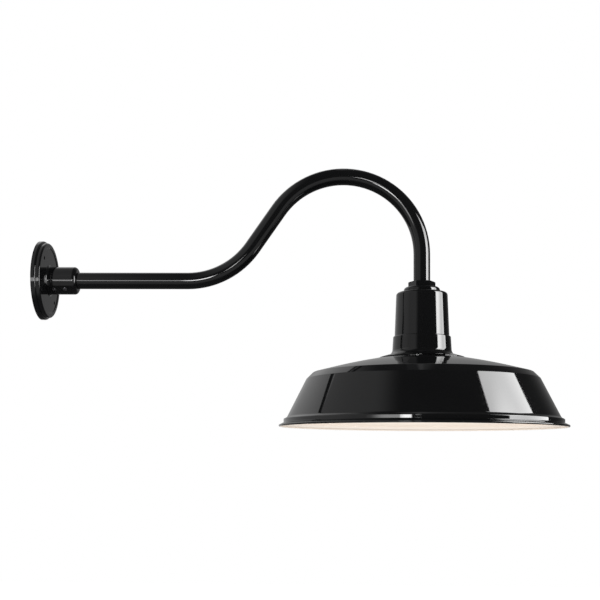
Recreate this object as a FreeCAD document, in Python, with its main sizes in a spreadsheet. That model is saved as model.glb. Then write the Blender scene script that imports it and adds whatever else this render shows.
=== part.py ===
import FreeCAD
import Part
import Sketcher
import math
import os

# Gooseneck wall light, in millimetres.
#
# The origin is the centre of the wall plate's back face. +X leaves the wall along the straight
# start of the arm, +Z is up. The arm swings up and over in the XZ plane and comes down on the
# lamp axis, a vertical line that all of the head's pieces share. Heights in the head are stated
# as depths below the arm's straight centre line, because the head hangs from it.

vector = FreeCAD.Vector

SIZES = [
    ("arm", None, None),
    ("pipe_d", 26.67, "outside of 3/4 inch pipe"),
    ("pipe_wall", 2.87, "wall of the pipe"),
    ("bend_r", 127.0, "centre-line radius of both bends"),
    ("rise_angle", 55.5, "degrees the first bend turns upwards"),
    ("wall_run", 238.5, "wall to the start of the first bend"),
    ("slope_run", 73.5, "straight pipe between the bends"),
    ("pipe_grip", 17.0, "how far the pipe reaches into the hub"),
    ("turn_gap", 0.05, "radial running gap of the pipe in the wall collar"),
    ("seat_gap", 0.05, "radial gap between pieces that are screwed or pushed together"),
    ("end_gap", 0.3, "gap at a face that moves past another"),
    ("wall plate", None, None),
    ("plate_d", 127.0, "outside of the round plate"),
    ("plate_depth", 13.7, "wall to the raised border of the plate's face"),
    ("front_tier_h", 6.2, "height of the narrower front tier"),
    ("tier_step", 3.0, "how far the front tier stands inside the back one"),
    ("plate_round", 2.6, "rounding of both tiers"),
    ("border_w", 5.0, "width of the raised border"),
    ("field_drop", 1.0, "depth of the field inside the border"),
    ("web", 6.2, "thickness of the field in front of the hollow back"),
    ("plate_rim_w", 11.5, "width of the rim round the hollow back"),
    ("collar_d", 44.5, "outside of the collar that grips the pipe"),
    ("collar_reach", 60.0, "wall to the collar's mouth"),
    ("collar_round", 6.0, "rounded nose of the collar"),
    ("root_round", 4.0, "fillet where the collar leaves the plate"),
    ("pipe_stop", 16.0, "wall to the shoulder that stops the pipe"),
    ("bolt_circle_d", 88.9, "circle of the two wall screws"),
    ("bolt_hole_d", 6.0, "holes for the wall screws"),
    ("bolt_boss_d", 18.0, "bosses that carry the holes through the hollow back"),
    ("bolt_angle", 135.0, "degrees the holes are turned from horizontal"),
    ("pad_angle", 52.0, "degrees the set screws point below horizontal"),
    ("pad_sink", 1.65, "how deep the flat under the set screws is milled into the collar"),
    ("set_screw_d", 7.94, "5/16 inch socket set screw"),
    ("set_screw_rise", 11.3, "plate's field to the first set screw"),
    ("set_screw_pitch", 17.5, "distance between the set screws"),
    ("set_screw_sink", 0.4, "depth of a screw's end below the flat"),
    ("hex_key", 4.0, "width of a set screw's hexagon socket"),
    ("ground_screw_d", 4.2, "thread of the earthing screw"),
    ("ground_head_d", 9.0, "head of the earthing screw"),
    ("ground_head_h", 2.6, "height of that head"),
    ("ground_place_r", 34.0, "plate centre to the earthing screw"),
    ("ground_angle", 172.0, "degrees round the plate to the earthing screw"),
    ("ground_skin", 2.0, "metal left in front of its tapped hole"),
    ("hub and neck", None, None),
    ("hub_top", 10.2, "depth of the hub's top, under the lock nut"),
    ("nut_h", 8.6, "height of the lock nut"),
    ("nut_corner_d", 43.6, "lock nut across corners"),
    ("nut_chamfer", 1.2, "chamfer of a nut's corners"),
    ("hub_tier_h", 8.8, "height of the hub's domed tier"),
    ("hub_d", 57.8, "outside of that tier"),
    ("hub_round", 5.0, "rounding of the dome"),
    ("spigot_wall", 3.6, "wall of the hub's threaded spigot"),
    ("spigot_below", 10.0, "spigot below the clamp nut"),
    ("clamp_nut_h", 6.5, "clamp nut under the bracket"),
    ("clamp_nut_w", 8.0, "how far its corners stand outside the spigot"),
    ("sheet", 1.2, "thickness of the spun sheet metal"),
    ("neck_top_d", 82.2, "neck just under its rounded shoulder"),
    ("shoulder_r", 4.5, "rounding of the neck's shoulder"),
    ("neck_spread", 2.8, "how far the neck widens down to its lower edge"),
    ("neck_h", 79.0, "height of the neck"),
    ("fitter collar", None, None),
    ("fitter_grip", 8.4, "how far the collar reaches up over the neck"),
    ("fitter_over", 2.1, "collar's top outside the neck's lower edge"),
    ("fitter_spread", 1.1, "how far the collar widens down to the flare"),
    ("fitter_round", 1.8, "rounding of the top edge"),
    ("fitter_h", 20.9, "top edge to the start of the flare"),
    ("flare_h", 7.9, "height of the flare"),
    ("flare_w", 3.9, "how far the flare reaches out to the brim"),
    ("brim_w", 17.0, "width of the brim that lies on the shade"),
    ("brim_drop", 5.2, "how far the brim slopes down"),
    ("shade", None, None),
    ("hole_inside", 1.9, "how far the shade's top reaches in under the neck's lower edge"),
    ("crown_drop", 24.4, "height of the crown below the brim"),
    ("crown_bulge", 1.7, "gentle doming of the crown"),
    ("knuckle_w", 10.0, "flattened knuckle between crown and side, across"),
    ("knuckle_h", 9.9, "flattened knuckle between crown and side, down"),
    ("knuckle_bulge", 0.5, "rounding of the knuckle"),
    ("skirt_w", 30.0, "straight side, across"),
    ("skirt_h", 59.8, "straight side, down"),
    ("bead_w", 5.9, "bead under the side, across"),
    ("bead_h", 7.3, "bead under the side, down"),
    ("bead_bulge", 1.0, "rounding of the bead"),
    ("bead_band", 2.5, "upright band under the bead"),
    ("cove_h", 2.9, "hollow between that band and the lip, down"),
    ("cove_bulge", 1.2, "rounding of the hollow"),
    ("lip_out", 7.7, "rim outside the band"),
    ("lip_r", 1.7, "half the thickness of the rolled lip"),
    ("shade_d", 457.2, "outside of the 18 inch shade"),
    ("lamp holder", None, None),
    ("strap_wall", 1.6, "thickness of the bracket"),
    ("strap_w", 42.0, "width of the bracket"),
    ("strap_h", 39.8, "height of the bracket"),
    ("strap_bend_r", 4.0, "outside of the bends at the bracket's top"),
    ("foot_gap", 1.0, "porcelain to the bracket's feet"),
    ("holder_rise", 8.0, "porcelain above its flange"),
    ("holder_top_d", 40.0, "outside of that part"),
    ("flange_h", 6.0, "thickness of the flange"),
    ("flange_over", 2.0, "flange outside the bracket"),
    ("holder_d", 45.0, "porcelain below its flange"),
    ("holder_round", 1.5, "rounded edges of the porcelain"),
    ("floor_drop", 10.0, "flange's top to the socket's floor"),
    ("socket_h", 30.0, "depth of the socket"),
    ("shell_d", 28.4, "outside of the screw shell"),
    ("shell_wall", 0.5, "thickness of the screw shell"),
    ("shell_h", 27.0, "height of the shell"),
    ("shell_lip_d", 23.0, "hole in the shell's turned-in top"),
    ("rivet_d", 2.4, "rivet of the centre contact"),
    ("rivet_head_d", 4.0, "head of that rivet"),
    ("rivet_head_h", 0.9, "height of that head"),
    ("rivet_l", 6.0, "how far the rivet reaches into the porcelain"),
    ("rivet_edge", 2.4, "rivet to the contact's fixed end"),
    ("tongue_drop", 2.4, "how far the contact springs down from the floor"),
    ("tongue_wall", 0.5, "thickness of the contact"),
    ("tongue_w", 6.0, "width of the contact"),
    ("tongue_root", 8.2, "lamp axis to the contact's fixed end"),
    ("tongue_flat", 4.6, "length of the contact's fixed end"),
    ("fix_screw_d", 3.6, "screws that hold the porcelain to the bracket"),
    ("fix_head_d", 7.0, "heads of those screws"),
    ("fix_head_h", 2.4, "height of those heads"),
    ("fix_gap", 0.5, "porcelain to those heads"),
    ("fix_edge", 3.5, "those screws to the outside of the bracket"),
    ("fix_spare", 1.5, "ends of those screws above the feet"),
    ("term_screw_d", 3.0, "terminal screws"),
    ("term_head_d", 6.0, "heads of the terminal screws"),
    ("term_head_h", 2.0, "height of those heads"),
    ("term_drop", 4.0, "porcelain's top to the terminal screws"),
    ("leads", None, None),
    ("lead_d", 2.6, "outside of a lead"),
    ("lead_side", 1.7, "lead to the middle of the pipe"),
    ("lead_start", 3.0, "wall to the leads' cut ends"),
    ("lead_place", 11.0, "lamp axis to a lead's terminal"),
    ("lead_bend_r", 6.0, "bends of the leads in the neck"),
    ("lead_angle", 50.0, "degrees the leads part"),
    ("lead_tail", 1.5, "straight end of a lead above the porcelain"),
    ("lead_sink", 5.5, "how far a lead reaches into the porcelain"),
    ("well_spare", 1.0, "well below the end of its lead"),
    ("lamp", None, None),
    ("lamp_contact_d", 9.0, "end contact of the lamp"),
    ("lamp_contact_h", 1.2, "height of that contact"),
    ("insulator_w", 5.5, "black insulator outside the contact"),
    ("insulator_h", 4.0, "height of that insulator"),
    ("cap_gap", 0.6, "cap to the screw shell"),
    ("cap_wall", 0.5, "thickness of the cap"),
    ("cap_round", 2.0, "rounded shoulder of the cap"),
    ("cap_h", 24.0, "height of the cap"),
    ("glass_gap", 0.1, "glass to the inside of the cap"),
    ("glass_wall", 0.9, "thickness of the glass"),
    ("glass_d", 60.0, "widest part of the glass"),
    ("glass_neck_r", 42.0, "hollow curve between neck and globe"),
    ("glass_in_cap", 6.0, "how far the glass reaches into the cap"),
]


class Size:
    """A size worked out from the sheet: its number now and the expression that keeps it bound."""

    def __init__(self, value, text):
        self.value = value
        self.text = text

    @staticmethod
    def of(item):
        return item if isinstance(item, Size) else Size(float(item), "%r" % float(item))

    def __add__(self, other):
        other = Size.of(other)
        return Size(self.value + other.value, "(%s + %s)" % (self.text, other.text))

    def __radd__(self, other):
        return Size.of(other) + self

    def __sub__(self, other):
        other = Size.of(other)
        return Size(self.value - other.value, "(%s - %s)" % (self.text, other.text))

    def __rsub__(self, other):
        return Size.of(other) - self

    def __mul__(self, other):
        other = Size.of(other)
        return Size(self.value * other.value, "(%s * %s)" % (self.text, other.text))

    def __rmul__(self, other):
        return Size.of(other) * self

    def __truediv__(self, other):
        other = Size.of(other)
        return Size(self.value / other.value, "(%s / %s)" % (self.text, other.text))

    def __neg__(self):
        return Size(-self.value, "(0 - %s)" % self.text)

    def __abs__(self):
        return self if self.value >= 0 else -self


def cosine(angle):
    return Size(math.cos(math.radians(angle.value)), "cos(%s)" % angle.text)


def square_root(amount):
    return Size(math.sqrt(amount.value), "sqrt(%s)" % amount.text)


def sine(angle):
    return Size(math.sin(math.radians(angle.value)), "sin(%s)" % angle.text)


# ---------------------------------------------------------------- document and sheet

doc = FreeCAD.newDocument("gooseneck_wall_light")
sheet = doc.addObject("Spreadsheet::Sheet", "sizes")
for row, (alias, number, note) in enumerate(SIZES, start=1):
    sheet.set("A%d" % row, alias)
    if number is not None:
        sheet.set("B%d" % row, str(number))
        sheet.set("C%d" % row, note)
        sheet.setAlias("B%d" % row, alias)
doc.recompute()


def size(alias):
    return Size(float(sheet.get(alias)), "sizes.%s" % alias)


parts = []


def finish(item, name):
    """Names a finished piece; the name is also its file's name."""
    item.Label = name
    parts.append(item)
    return item


def bind(item, path, amount):
    """Ties one property of an object to the sheet."""
    item.setExpression(path, Size.of(amount).text)


def place(item, x=0.0, y=0.0, z=0.0, turn=None):
    """Puts an object at x, y, z, which stay bound to the sheet; turn is an axis and an angle."""
    rotation = FreeCAD.Rotation()
    if turn is not None:
        axis, angle = turn
        rotation = FreeCAD.Rotation(axis, Size.of(angle).value)
    spot = vector(Size.of(x).value, Size.of(y).value, Size.of(z).value)
    item.Placement = FreeCAD.Placement(spot, rotation)
    for letter, amount in (("x", x), ("y", y), ("z", z)):
        if isinstance(amount, Size):
            bind(item, "Placement.Base." + letter, amount)
    if turn is not None and isinstance(turn[1], Size):
        bind(item, "Placement.Rotation.Angle", turn[1])


# ---------------------------------------------------------------- sketches

def origin_plane(body, role):
    return next(item for item in body.Origin.OriginFeatures if item.Role == role)


def sketch_on(body, role, name, offset=None, spin=None):
    """A sketch on one of the body's origin planes, moved along its normal by offset."""
    sketch = body.newObject("Sketcher::SketchObject", name)
    sketch.AttachmentSupport = [(origin_plane(body, role), "")]
    sketch.MapMode = "FlatFace"
    if spin is not None:
        axis, angle = spin
        sketch.AttachmentOffset = FreeCAD.Placement(vector(0, 0, 0), FreeCAD.Rotation(axis, angle.value))
        bind(sketch, "AttachmentOffset.Rotation.Angle", angle)
    if offset is not None:
        bind(sketch, "AttachmentOffset.Base.z", offset)
    return sketch


def fix(sketch, kind, edge, end, amount):
    """One horizontal or vertical distance from the sketch's origin to an end of an edge."""
    index = sketch.addConstraint(Sketcher.Constraint(kind, -1, 1, edge, end, amount.value))
    if "sizes." in amount.text:
        bind(sketch, "Constraints[%d]" % index, amount)


def fix_radius(sketch, edge, amount):
    index = sketch.addConstraint(Sketcher.Constraint("Radius", edge, amount.value))
    if "sizes." in amount.text:
        bind(sketch, "Constraints[%d]" % index, amount)


def arc_between(start, end, radius):
    """The shorter arc from start to end; a positive radius turns left, a negative one right."""
    chord = end - start
    middle = (start + end) * 0.5
    left = vector(-chord.y, chord.x, 0).normalize()
    rise = math.sqrt(max(radius * radius - chord.Length ** 2 / 4.0, 0.0))
    centre = middle + left * math.copysign(rise, radius)
    first, last = (start, end) if radius > 0 else (end, start)
    angles = [math.atan2(spot.y - centre.y, spot.x - centre.x) for spot in (first, last)]
    if angles[1] < angles[0]:
        angles[1] += 2.0 * math.pi
    return Part.ArcOfCircle(Part.Circle(centre, vector(0, 0, 1), abs(radius)), angles[0], angles[1])


def draw(sketch, corners, closed=True):
    """Joins corners (x, y) with lines. A third item is the signed radius of the arc that leaves."""
    corners = [tuple(Size.of(item) for item in corner) for corner in corners]
    spots = [vector(corner[0].value, corner[1].value, 0) for corner in corners]
    count = len(corners) if closed else len(corners) - 1
    ends = []
    for index in range(count):
        start, end = spots[index], spots[(index + 1) % len(spots)]
        if len(corners[index]) == 3:
            radius = corners[index][2]
            edge = sketch.addGeometry(arc_between(start, end, radius.value))
            ends.append((edge, 1, 2) if radius.value > 0 else (edge, 2, 1))
        else:
            edge = sketch.addGeometry(Part.LineSegment(start, end))
            ends.append((edge, 1, 2))
    for index, (edge, first, last) in enumerate(ends):
        if index + 1 < count or closed:
            following = ends[(index + 1) % count]
            sketch.addConstraint(Sketcher.Constraint("Coincident", edge, last, following[0], following[1]))
        fix(sketch, "DistanceX", edge, first, corners[index][0])
        fix(sketch, "DistanceY", edge, first, corners[index][1])
    if not closed:
        edge, first, last = ends[-1]
        fix(sketch, "DistanceX", edge, last, corners[-1][0])
        fix(sketch, "DistanceY", edge, last, corners[-1][1])
    for index, (edge, first, last) in enumerate(ends):
        if len(corners[index]) == 3:
            radius = corners[index][2]
            fix_radius(sketch, edge, radius if radius.value > 0 else -radius)
    return sketch


def draw_circle(sketch, x, y, radius):
    x, y, radius = Size.of(x), Size.of(y), Size.of(radius)
    edge = sketch.addGeometry(Part.Circle(vector(x.value, y.value, 0), vector(0, 0, 1), radius.value))
    fix(sketch, "DistanceX", edge, 3, x)
    fix(sketch, "DistanceY", edge, 3, y)
    fix_radius(sketch, edge, radius)


def hexagon(corner_r):
    """Corners of a hexagon with two of them on the sketch's X axis."""
    half = corner_r / 2.0
    rise = corner_r * Size(math.sqrt(0.75), "sqrt(0.75)")
    return [(corner_r, 0.0), (half, rise), (-half, rise), (-corner_r, 0.0), (-half, -rise), (half, -rise)]


# ---------------------------------------------------------------- ways of making a piece

def new_body(name):
    return doc.addObject("PartDesign::Body", name)


def feature(body, kind, name, sketch):
    item = body.newObject("PartDesign::" + kind, name)
    item.Profile = sketch
    return item


def revolve(body, sketch, axis="V_Axis", kind="Revolution", name="turned"):
    item = feature(body, kind, name, sketch)
    item.ReferenceAxis = (sketch, [axis])
    item.Angle = 360.0
    return item


def turned(name, corners, plane="XZ_Plane"):
    """A body turned about its own Z axis from a closed half outline of (radius, height)."""
    body = new_body(name)
    revolve(body, draw(sketch_on(body, plane, name + "_outline"), corners))
    return body


def pad(body, sketch, length, name="padded", both_ways=False):
    item = feature(body, "Pad", name, sketch)
    item.Length = Size.of(length).value
    bind(item, "Length", length)
    if both_ways:
        item.SideType = "Symmetric"
    return item


def pocket(body, sketch, name="cut", flipped=False, length=None, both_ways=False):
    """A cut through everything on one side, or to a length, that has to take something away."""
    before = body.Shape.Volume
    item = feature(body, "Pocket", name, sketch)
    item.Reversed = flipped
    if both_ways:
        item.SideType = "Symmetric"
    if length is None:
        item.Type = "ThroughAll"
    else:
        item.Type = "Length"
        item.Length = Size.of(length).value
        bind(item, "Length", length)
    doc.recompute()
    if body.Shape.Volume > before - 0.01:
        raise RuntimeError("%s in %s cuts nothing" % (name, body.Name))
    return item


def spun(name, corners, wall, x):
    """Sheet spun about a vertical axis at x: an open half outline, thickened by wall, then turned."""
    sketch = doc.addObject("Sketcher::SketchObject", name + "_line")
    draw(sketch, corners, closed=False)
    place(sketch, turn=(vector(1, 0, 0), 90.0))
    thick = doc.addObject("Part::Offset2D", name + "_section")
    thick.Source = sketch
    thick.Mode = "Skin"
    thick.Join = "Arc"
    thick.Fill = True
    thick.Value = wall.value
    bind(thick, "Value", wall)
    shell = doc.addObject("Part::Revolution", name)
    shell.Source = thick
    shell.Axis = vector(0, 0, 1)
    shell.Angle = 360.0
    shell.Solid = True
    place(shell, x=x)
    return shell


def group(name, items):
    item = doc.addObject("Part::Compound", name)
    item.Links = items
    return item


def hex_nut(name, corner_d, top, bottom, bore_r):
    """A hexagon nut between two depths, with its corners chamfered at both ends."""
    body = new_body(name)
    corner_r = corner_d / 2.0
    sketch = sketch_on(body, "XY_Plane", name + "_hexagon", offset=-bottom)
    draw(sketch, hexagon(corner_r))
    draw_circle(sketch, 0.0, 0.0, bore_r)
    pad(body, sketch, bottom - top)
    doc.recompute()
    chamfer = size("nut_chamfer")
    for end, inward in ((-top, -1.0), (-bottom, 1.0)):
        corner = draw(sketch_on(body, "XZ_Plane", name + "_chamfer"), [
            (corner_r + 1.0, end),
            (corner_r - chamfer, end),
            (corner_r + 1.0, end + inward * (chamfer + 1.0) * 0.6),
        ])
        revolve(body, corner, kind="Groove", name="chamfered")
    return body


# ---------------------------------------------------------------- shared places

pipe_r = size("pipe_d") / 2.0
pipe_bore_r = pipe_r - size("pipe_wall")
rise = size("rise_angle")
bend_r = size("bend_r")
first_bend_x = size("wall_run") + bend_r * sine(rise)
first_bend_z = bend_r * (1.0 - cosine(rise))
slope_end_x = first_bend_x + size("slope_run") * cosine(rise)
slope_end_z = first_bend_z + size("slope_run") * sine(rise)
lamp_x = slope_end_x + bend_r * sine(rise) + bend_r
drop_z = slope_end_z - bend_r * cosine(rise)

sheet_wall = size("sheet")
seat_gap = size("seat_gap")
face_x = size("plate_depth") - size("field_drop")
collar_r = size("collar_d") / 2.0
pad_dist = collar_r - size("pad_sink")
set_screw_x = face_x + size("set_screw_rise")

hub_top = size("hub_top")
neck_top = hub_top + size("hub_tier_h")
pipe_end = hub_top + size("pipe_grip")
neck_end = neck_top + size("neck_h")
fitter_top = neck_end - size("fitter_grip")
flare_start = fitter_top + size("fitter_h")
foot_top = flare_start + size("flare_h")
neck_top_r = size("neck_top_d") / 2.0
neck_low_r = neck_top_r + size("neck_spread")
fitter_r = neck_low_r + size("fitter_over")
fitter_low_r = fitter_r + size("fitter_spread")
flare_r = fitter_low_r + size("flare_w")
brim_r = flare_r + size("brim_w")
brim_slope = size("brim_drop") / size("brim_w")
shade_top = foot_top + seat_gap + sheet_wall * square_root(1.0 + brim_slope * brim_slope)

strap_top = neck_top + sheet_wall
clamp_top = strap_top + size("strap_wall")
clamp_low = clamp_top + size("clamp_nut_h")
spigot_r = pipe_r + seat_gap + size("spigot_wall")
spigot_end = clamp_low + size("spigot_below")

holder_r = size("holder_d") / 2.0
holder_top_r = size("holder_top_d") / 2.0
fix_place = holder_r + size("fix_gap") + size("fix_head_d") / 2.0
strap_half = fix_place + size("fix_edge")
flange_top = strap_top + size("strap_h")
flange_low = flange_top + size("flange_h")
holder_top = flange_top - size("holder_rise")
socket_floor = flange_top + size("floor_drop")
lead_end = holder_top + size("lead_sink")
term_depth = holder_top + size("term_drop")
rivet_place = size("tongue_root") - size("rivet_edge")


def at_lamp_axis(item, name):
    place(item, x=lamp_x)
    return finish(item, name)


# ---------------------------------------------------------------- wall plate

def wall_plate():
    """Round cast plate in two tiers with a hollow back and a long collar for the pipe."""
    plate_r = size("plate_d") / 2.0
    tier_r = plate_r - size("tier_step")
    round_r = size("plate_round")
    front = size("plate_depth")
    tier = front - size("front_tier_h")
    border_r = tier_r - round_r - size("border_w")
    root = size("root_round")
    nose = size("collar_round")
    reach = size("collar_reach")
    recess_r = plate_r - size("plate_rim_w")
    recess = face_x - size("web")
    bore_r = pipe_r + size("turn_gap")
    stop = size("pipe_stop")

    body = new_body("wall_plate")
    section = draw(sketch_on(body, "XZ_Plane", "plate_section"), [
        (0.0, recess_r),
        (0.0, plate_r),
        (tier - round_r, plate_r, -round_r),
        (tier, plate_r - round_r),
        (tier, tier_r),
        (front - round_r, tier_r, -round_r),
        (front, tier_r - round_r),
        (front, border_r),
        (face_x, border_r - size("field_drop")),
        (face_x, collar_r + root, root),
        (face_x + root, collar_r),
        (reach - nose, collar_r, -nose),
        (reach, collar_r - nose),
        (reach, bore_r),
        (stop, bore_r),
        (stop, pipe_bore_r),
        (recess, pipe_bore_r),
        (recess, recess_r),
    ])
    revolve(body, section, axis="H_Axis")
    doc.recompute()

    # Flat under the set screws, milled along the collar at the pad's angle.
    pad_reach = collar_r + root + 1.0
    flat = sketch_on(body, "YZ_Plane", "pad_flat", offset=face_x, spin=(vector(0, 0, 1), size("pad_angle")))
    draw(flat, [(-pad_dist, -pad_reach), (-pad_dist, pad_reach), (-pad_reach, pad_reach), (-pad_reach, -pad_reach)])
    pocket(body, flat, "pad_flat_cut", flipped=True, length=reach - nose - face_x)

    holes = sketch_on(body, "XZ_Plane", "set_screw_holes", spin=(vector(1, 0, 0), size("pad_angle")))
    for place_x in (set_screw_x, set_screw_x + size("set_screw_pitch")):
        draw_circle(holes, place_x, 0.0, size("set_screw_d") / 2.0)
    pocket(body, holes, "set_screw_taps", flipped=True)

    # Bosses carry the wall screws' holes from the face through to the wall.
    bolt_place = size("bolt_circle_d") / 2.0
    bosses = sketch_on(body, "YZ_Plane", "bolt_bosses", spin=(vector(0, 0, 1), size("bolt_angle")))
    draw_circle(bosses, bolt_place, 0.0, size("bolt_boss_d") / 2.0)
    draw_circle(bosses, -bolt_place, 0.0, size("bolt_boss_d") / 2.0)
    pad(body, bosses, recess)
    doc.recompute()

    bolt = sketch_on(body, "YZ_Plane", "bolt_hole", spin=(vector(0, 0, 1), size("bolt_angle")))
    draw_circle(bolt, bolt_place, 0.0, size("bolt_hole_d") / 2.0)
    draw_circle(bolt, -bolt_place, 0.0, size("bolt_hole_d") / 2.0)
    pocket(body, bolt, "bolt_holes", both_ways=True)

    ground = sketch_on(body, "YZ_Plane", "ground_tap", offset=recess, spin=(vector(0, 0, 1), size("ground_angle")))
    draw_circle(ground, size("ground_place_r"), 0.0, size("ground_screw_d") / 2.0)
    pocket(body, ground, "ground_tapped", flipped=True, length=size("web") - size("ground_skin"))
    return finish(body, "wall_plate")


def set_screws():
    """Two socket set screws that lock the pipe in the collar."""
    inner = pipe_r + size("end_gap")
    outer = pad_dist - size("set_screw_sink")
    screw_r = size("set_screw_d") / 2.0 - seat_gap
    socket_depth = (outer - inner) * 0.5
    screws = []
    for number in range(2):
        body = new_body("set_screw_%d" % number)
        blank = draw(sketch_on(body, "XZ_Plane", "screw_section"), [
            (0.0, inner),
            (screw_r * 0.55, inner),
            (screw_r, inner + screw_r * 0.3),
            (screw_r, outer - screw_r * 0.15),
            (screw_r * 0.85, outer),
            (0.0, outer),
        ])
        revolve(body, blank)
        doc.recompute()
        key = sketch_on(body, "XY_Plane", "key_socket", offset=outer)
        draw(key, hexagon(size("hex_key") / Size(math.sqrt(3.0), "sqrt(3)")))
        pocket(body, key, "key_socket_cut", length=socket_depth)
        along = set_screw_x + number * size("set_screw_pitch")
        place(body, x=along, turn=(vector(1, 0, 0), size("pad_angle") + 90.0))
        screws.append(body)
    return finish(group("set_screws", screws), "collar_set_screws")


def ground_screw():
    """Earthing screw in the floor of the plate's hollow, its head towards the wall."""
    shank_r = size("ground_screw_d") / 2.0 - seat_gap
    head_r = size("ground_head_d") / 2.0
    head = size("ground_head_h")
    depth = size("web") - size("ground_skin") - seat_gap
    body = new_body("ground_screw")
    section = draw(sketch_on(body, "XZ_Plane", "ground_section"), [
        (0.0, -depth),
        (shank_r, -depth),
        (shank_r, 0.0),
        (head_r, 0.0),
        (head_r, head * 0.6),
        (head_r * 0.8, head),
        (0.0, head),
    ])
    revolve(body, section)
    doc.recompute()
    slot = sketch_on(body, "XY_Plane", "ground_slot", offset=head)
    half = head_r * 0.12
    draw(slot, [(-head_r, -half), (head_r, -half), (head_r, half), (-head_r, half)])
    pocket(body, slot, "slot_cut", length=head * 0.4)
    angle = size("ground_angle")
    far = size("ground_place_r")
    place(body, x=face_x - size("web"), y=far * cosine(angle), z=far * sine(angle),
          turn=(vector(0, 1, 0), -90.0))
    return finish(body, "ground_screw")


# ---------------------------------------------------------------- arm and leads

def arm_path(start_x, end_depth):
    """Corners of the centre line from the wall to a depth on the lamp axis."""
    return [
        (start_x, 0.0),
        (size("wall_run"), 0.0, bend_r),
        (first_bend_x, first_bend_z),
        (slope_end_x, slope_end_z, -bend_r),
        (lamp_x, drop_z),
        (lamp_x, -end_depth),
    ]


def pipe_along(body, profile, path):
    item = body.newObject("PartDesign::AdditivePipe", "swept")
    item.Profile = profile
    item.Spine = (path, ["Edge%d" % (index + 1) for index in range(path.GeometryCount)])
    return item


def gooseneck_arm():
    """Bent pipe: straight out of the collar, up, over the crest and straight down to the hub."""
    start = size("pipe_stop") + size("end_gap")
    body = new_body("gooseneck_arm")
    path = draw(sketch_on(body, "XZ_Plane", "centre_line"), arm_path(start, pipe_end), closed=False)
    ring = sketch_on(body, "YZ_Plane", "pipe_ring", offset=start)
    draw_circle(ring, 0.0, 0.0, pipe_r)
    draw_circle(ring, 0.0, 0.0, pipe_bore_r)
    pipe_along(body, ring, path)
    return finish(body, "gooseneck_arm")


def lead(name, side):
    """An insulated lead through the arm; side is +1 for the one that ends beyond the lamp axis."""
    bend = size("lead_bend_r")
    angle = size("lead_angle")
    start = size("lead_start")
    turn_out = bend * (1.0 - cosine(angle))
    turn_down = bend * sine(angle)
    slant = (size("lead_place") - 2.0 * turn_out) / sine(angle)
    slant_out = slant * sine(angle)
    slant_down = slant * cosine(angle)
    parting = holder_top - size("lead_tail") - 2.0 * turn_down - slant_down
    corners = arm_path(start, parting)
    x, z = corners[-1]
    corners[-1] = (x, z, side * bend)
    corners += [
        (x + side * turn_out, z - turn_down),
        (x + side * (turn_out + slant_out), z - turn_down - slant_down, -side * bend),
        (x + side * size("lead_place"), z - 2.0 * turn_down - slant_down),
        (x + side * size("lead_place"), -lead_end),
    ]
    body = new_body(name)
    path = draw(sketch_on(body, "XZ_Plane", name + "_route", offset=-side * size("lead_side")), corners, closed=False)
    ring = sketch_on(body, "YZ_Plane", name + "_ring", offset=start)
    draw_circle(ring, side * size("lead_side"), 0.0, size("lead_d") / 2.0)
    pipe_along(body, ring, path)
    return finish(body, name)


# ---------------------------------------------------------------- hub, neck and fitter collar

def hub():
    """Cast hub: a domed tier on the neck and a threaded spigot down through it."""
    hub_r = size("hub_d") / 2.0
    round_r = size("hub_round")
    bore_r = pipe_r + seat_gap
    body = turned("hub", [
        (bore_r, -hub_top),
        (hub_r - round_r, -hub_top, -round_r),
        (hub_r, -hub_top - round_r),
        (hub_r, -neck_top),
        (spigot_r, -neck_top),
        (spigot_r, -spigot_end),
        (pipe_bore_r, -spigot_end),
        (pipe_bore_r, -pipe_end),
        (bore_r, -pipe_end),
    ])
    return at_lamp_axis(body, "hub")


def socket_neck():
    """Spun cup round the lamp holder, with a rounded shoulder and a slight taper."""
    shoulder = size("shoulder_r")
    shell = spun("neck", [
        (spigot_r + seat_gap, -neck_top),
        (neck_top_r - shoulder, -neck_top, -shoulder),
        (neck_top_r, -neck_top - shoulder),
        (neck_low_r, -neck_end),
    ], -sheet_wall, lamp_x)
    return finish(shell, "socket_neck")


def neck_radius_at(depth):
    """Outside radius of the neck's tapered side at a depth."""
    start = neck_top + size("shoulder_r")
    return neck_top_r + size("neck_spread") * (depth - start) / (neck_end - start)


def fitter_collar():
    """Flared ring that grips the neck's lower end and stands on the shade."""
    round_r = size("fitter_round")
    out = size("flare_w")
    drop = size("flare_h")
    flare_round = (out * out + drop * drop) / (2.0 * out)
    shell = spun("fitter", [
        (neck_radius_at(fitter_top + sheet_wall) + seat_gap, -fitter_top),
        (fitter_r - round_r, -fitter_top, -round_r),
        (fitter_r, -fitter_top - round_r),
        (fitter_low_r, -flare_start, flare_round),
        (flare_r, -foot_top),
        (brim_r, -foot_top - size("brim_drop")),
    ], -sheet_wall, lamp_x)
    return finish(shell, "fitter_collar")


# ---------------------------------------------------------------- shade

def bulged(corners, start, end, bulge):
    """Gives the corner at start the radius of an arc that bulges off its chord to end."""
    across = corners[end][0] - corners[start][0]
    down = corners[end][1] - corners[start][1]
    height = abs(bulge)
    radius = (across * across + down * down) / (8.0 * height) + height / 2.0
    corners[start] += (radius if bulge.value > 0 else -radius,)


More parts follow.
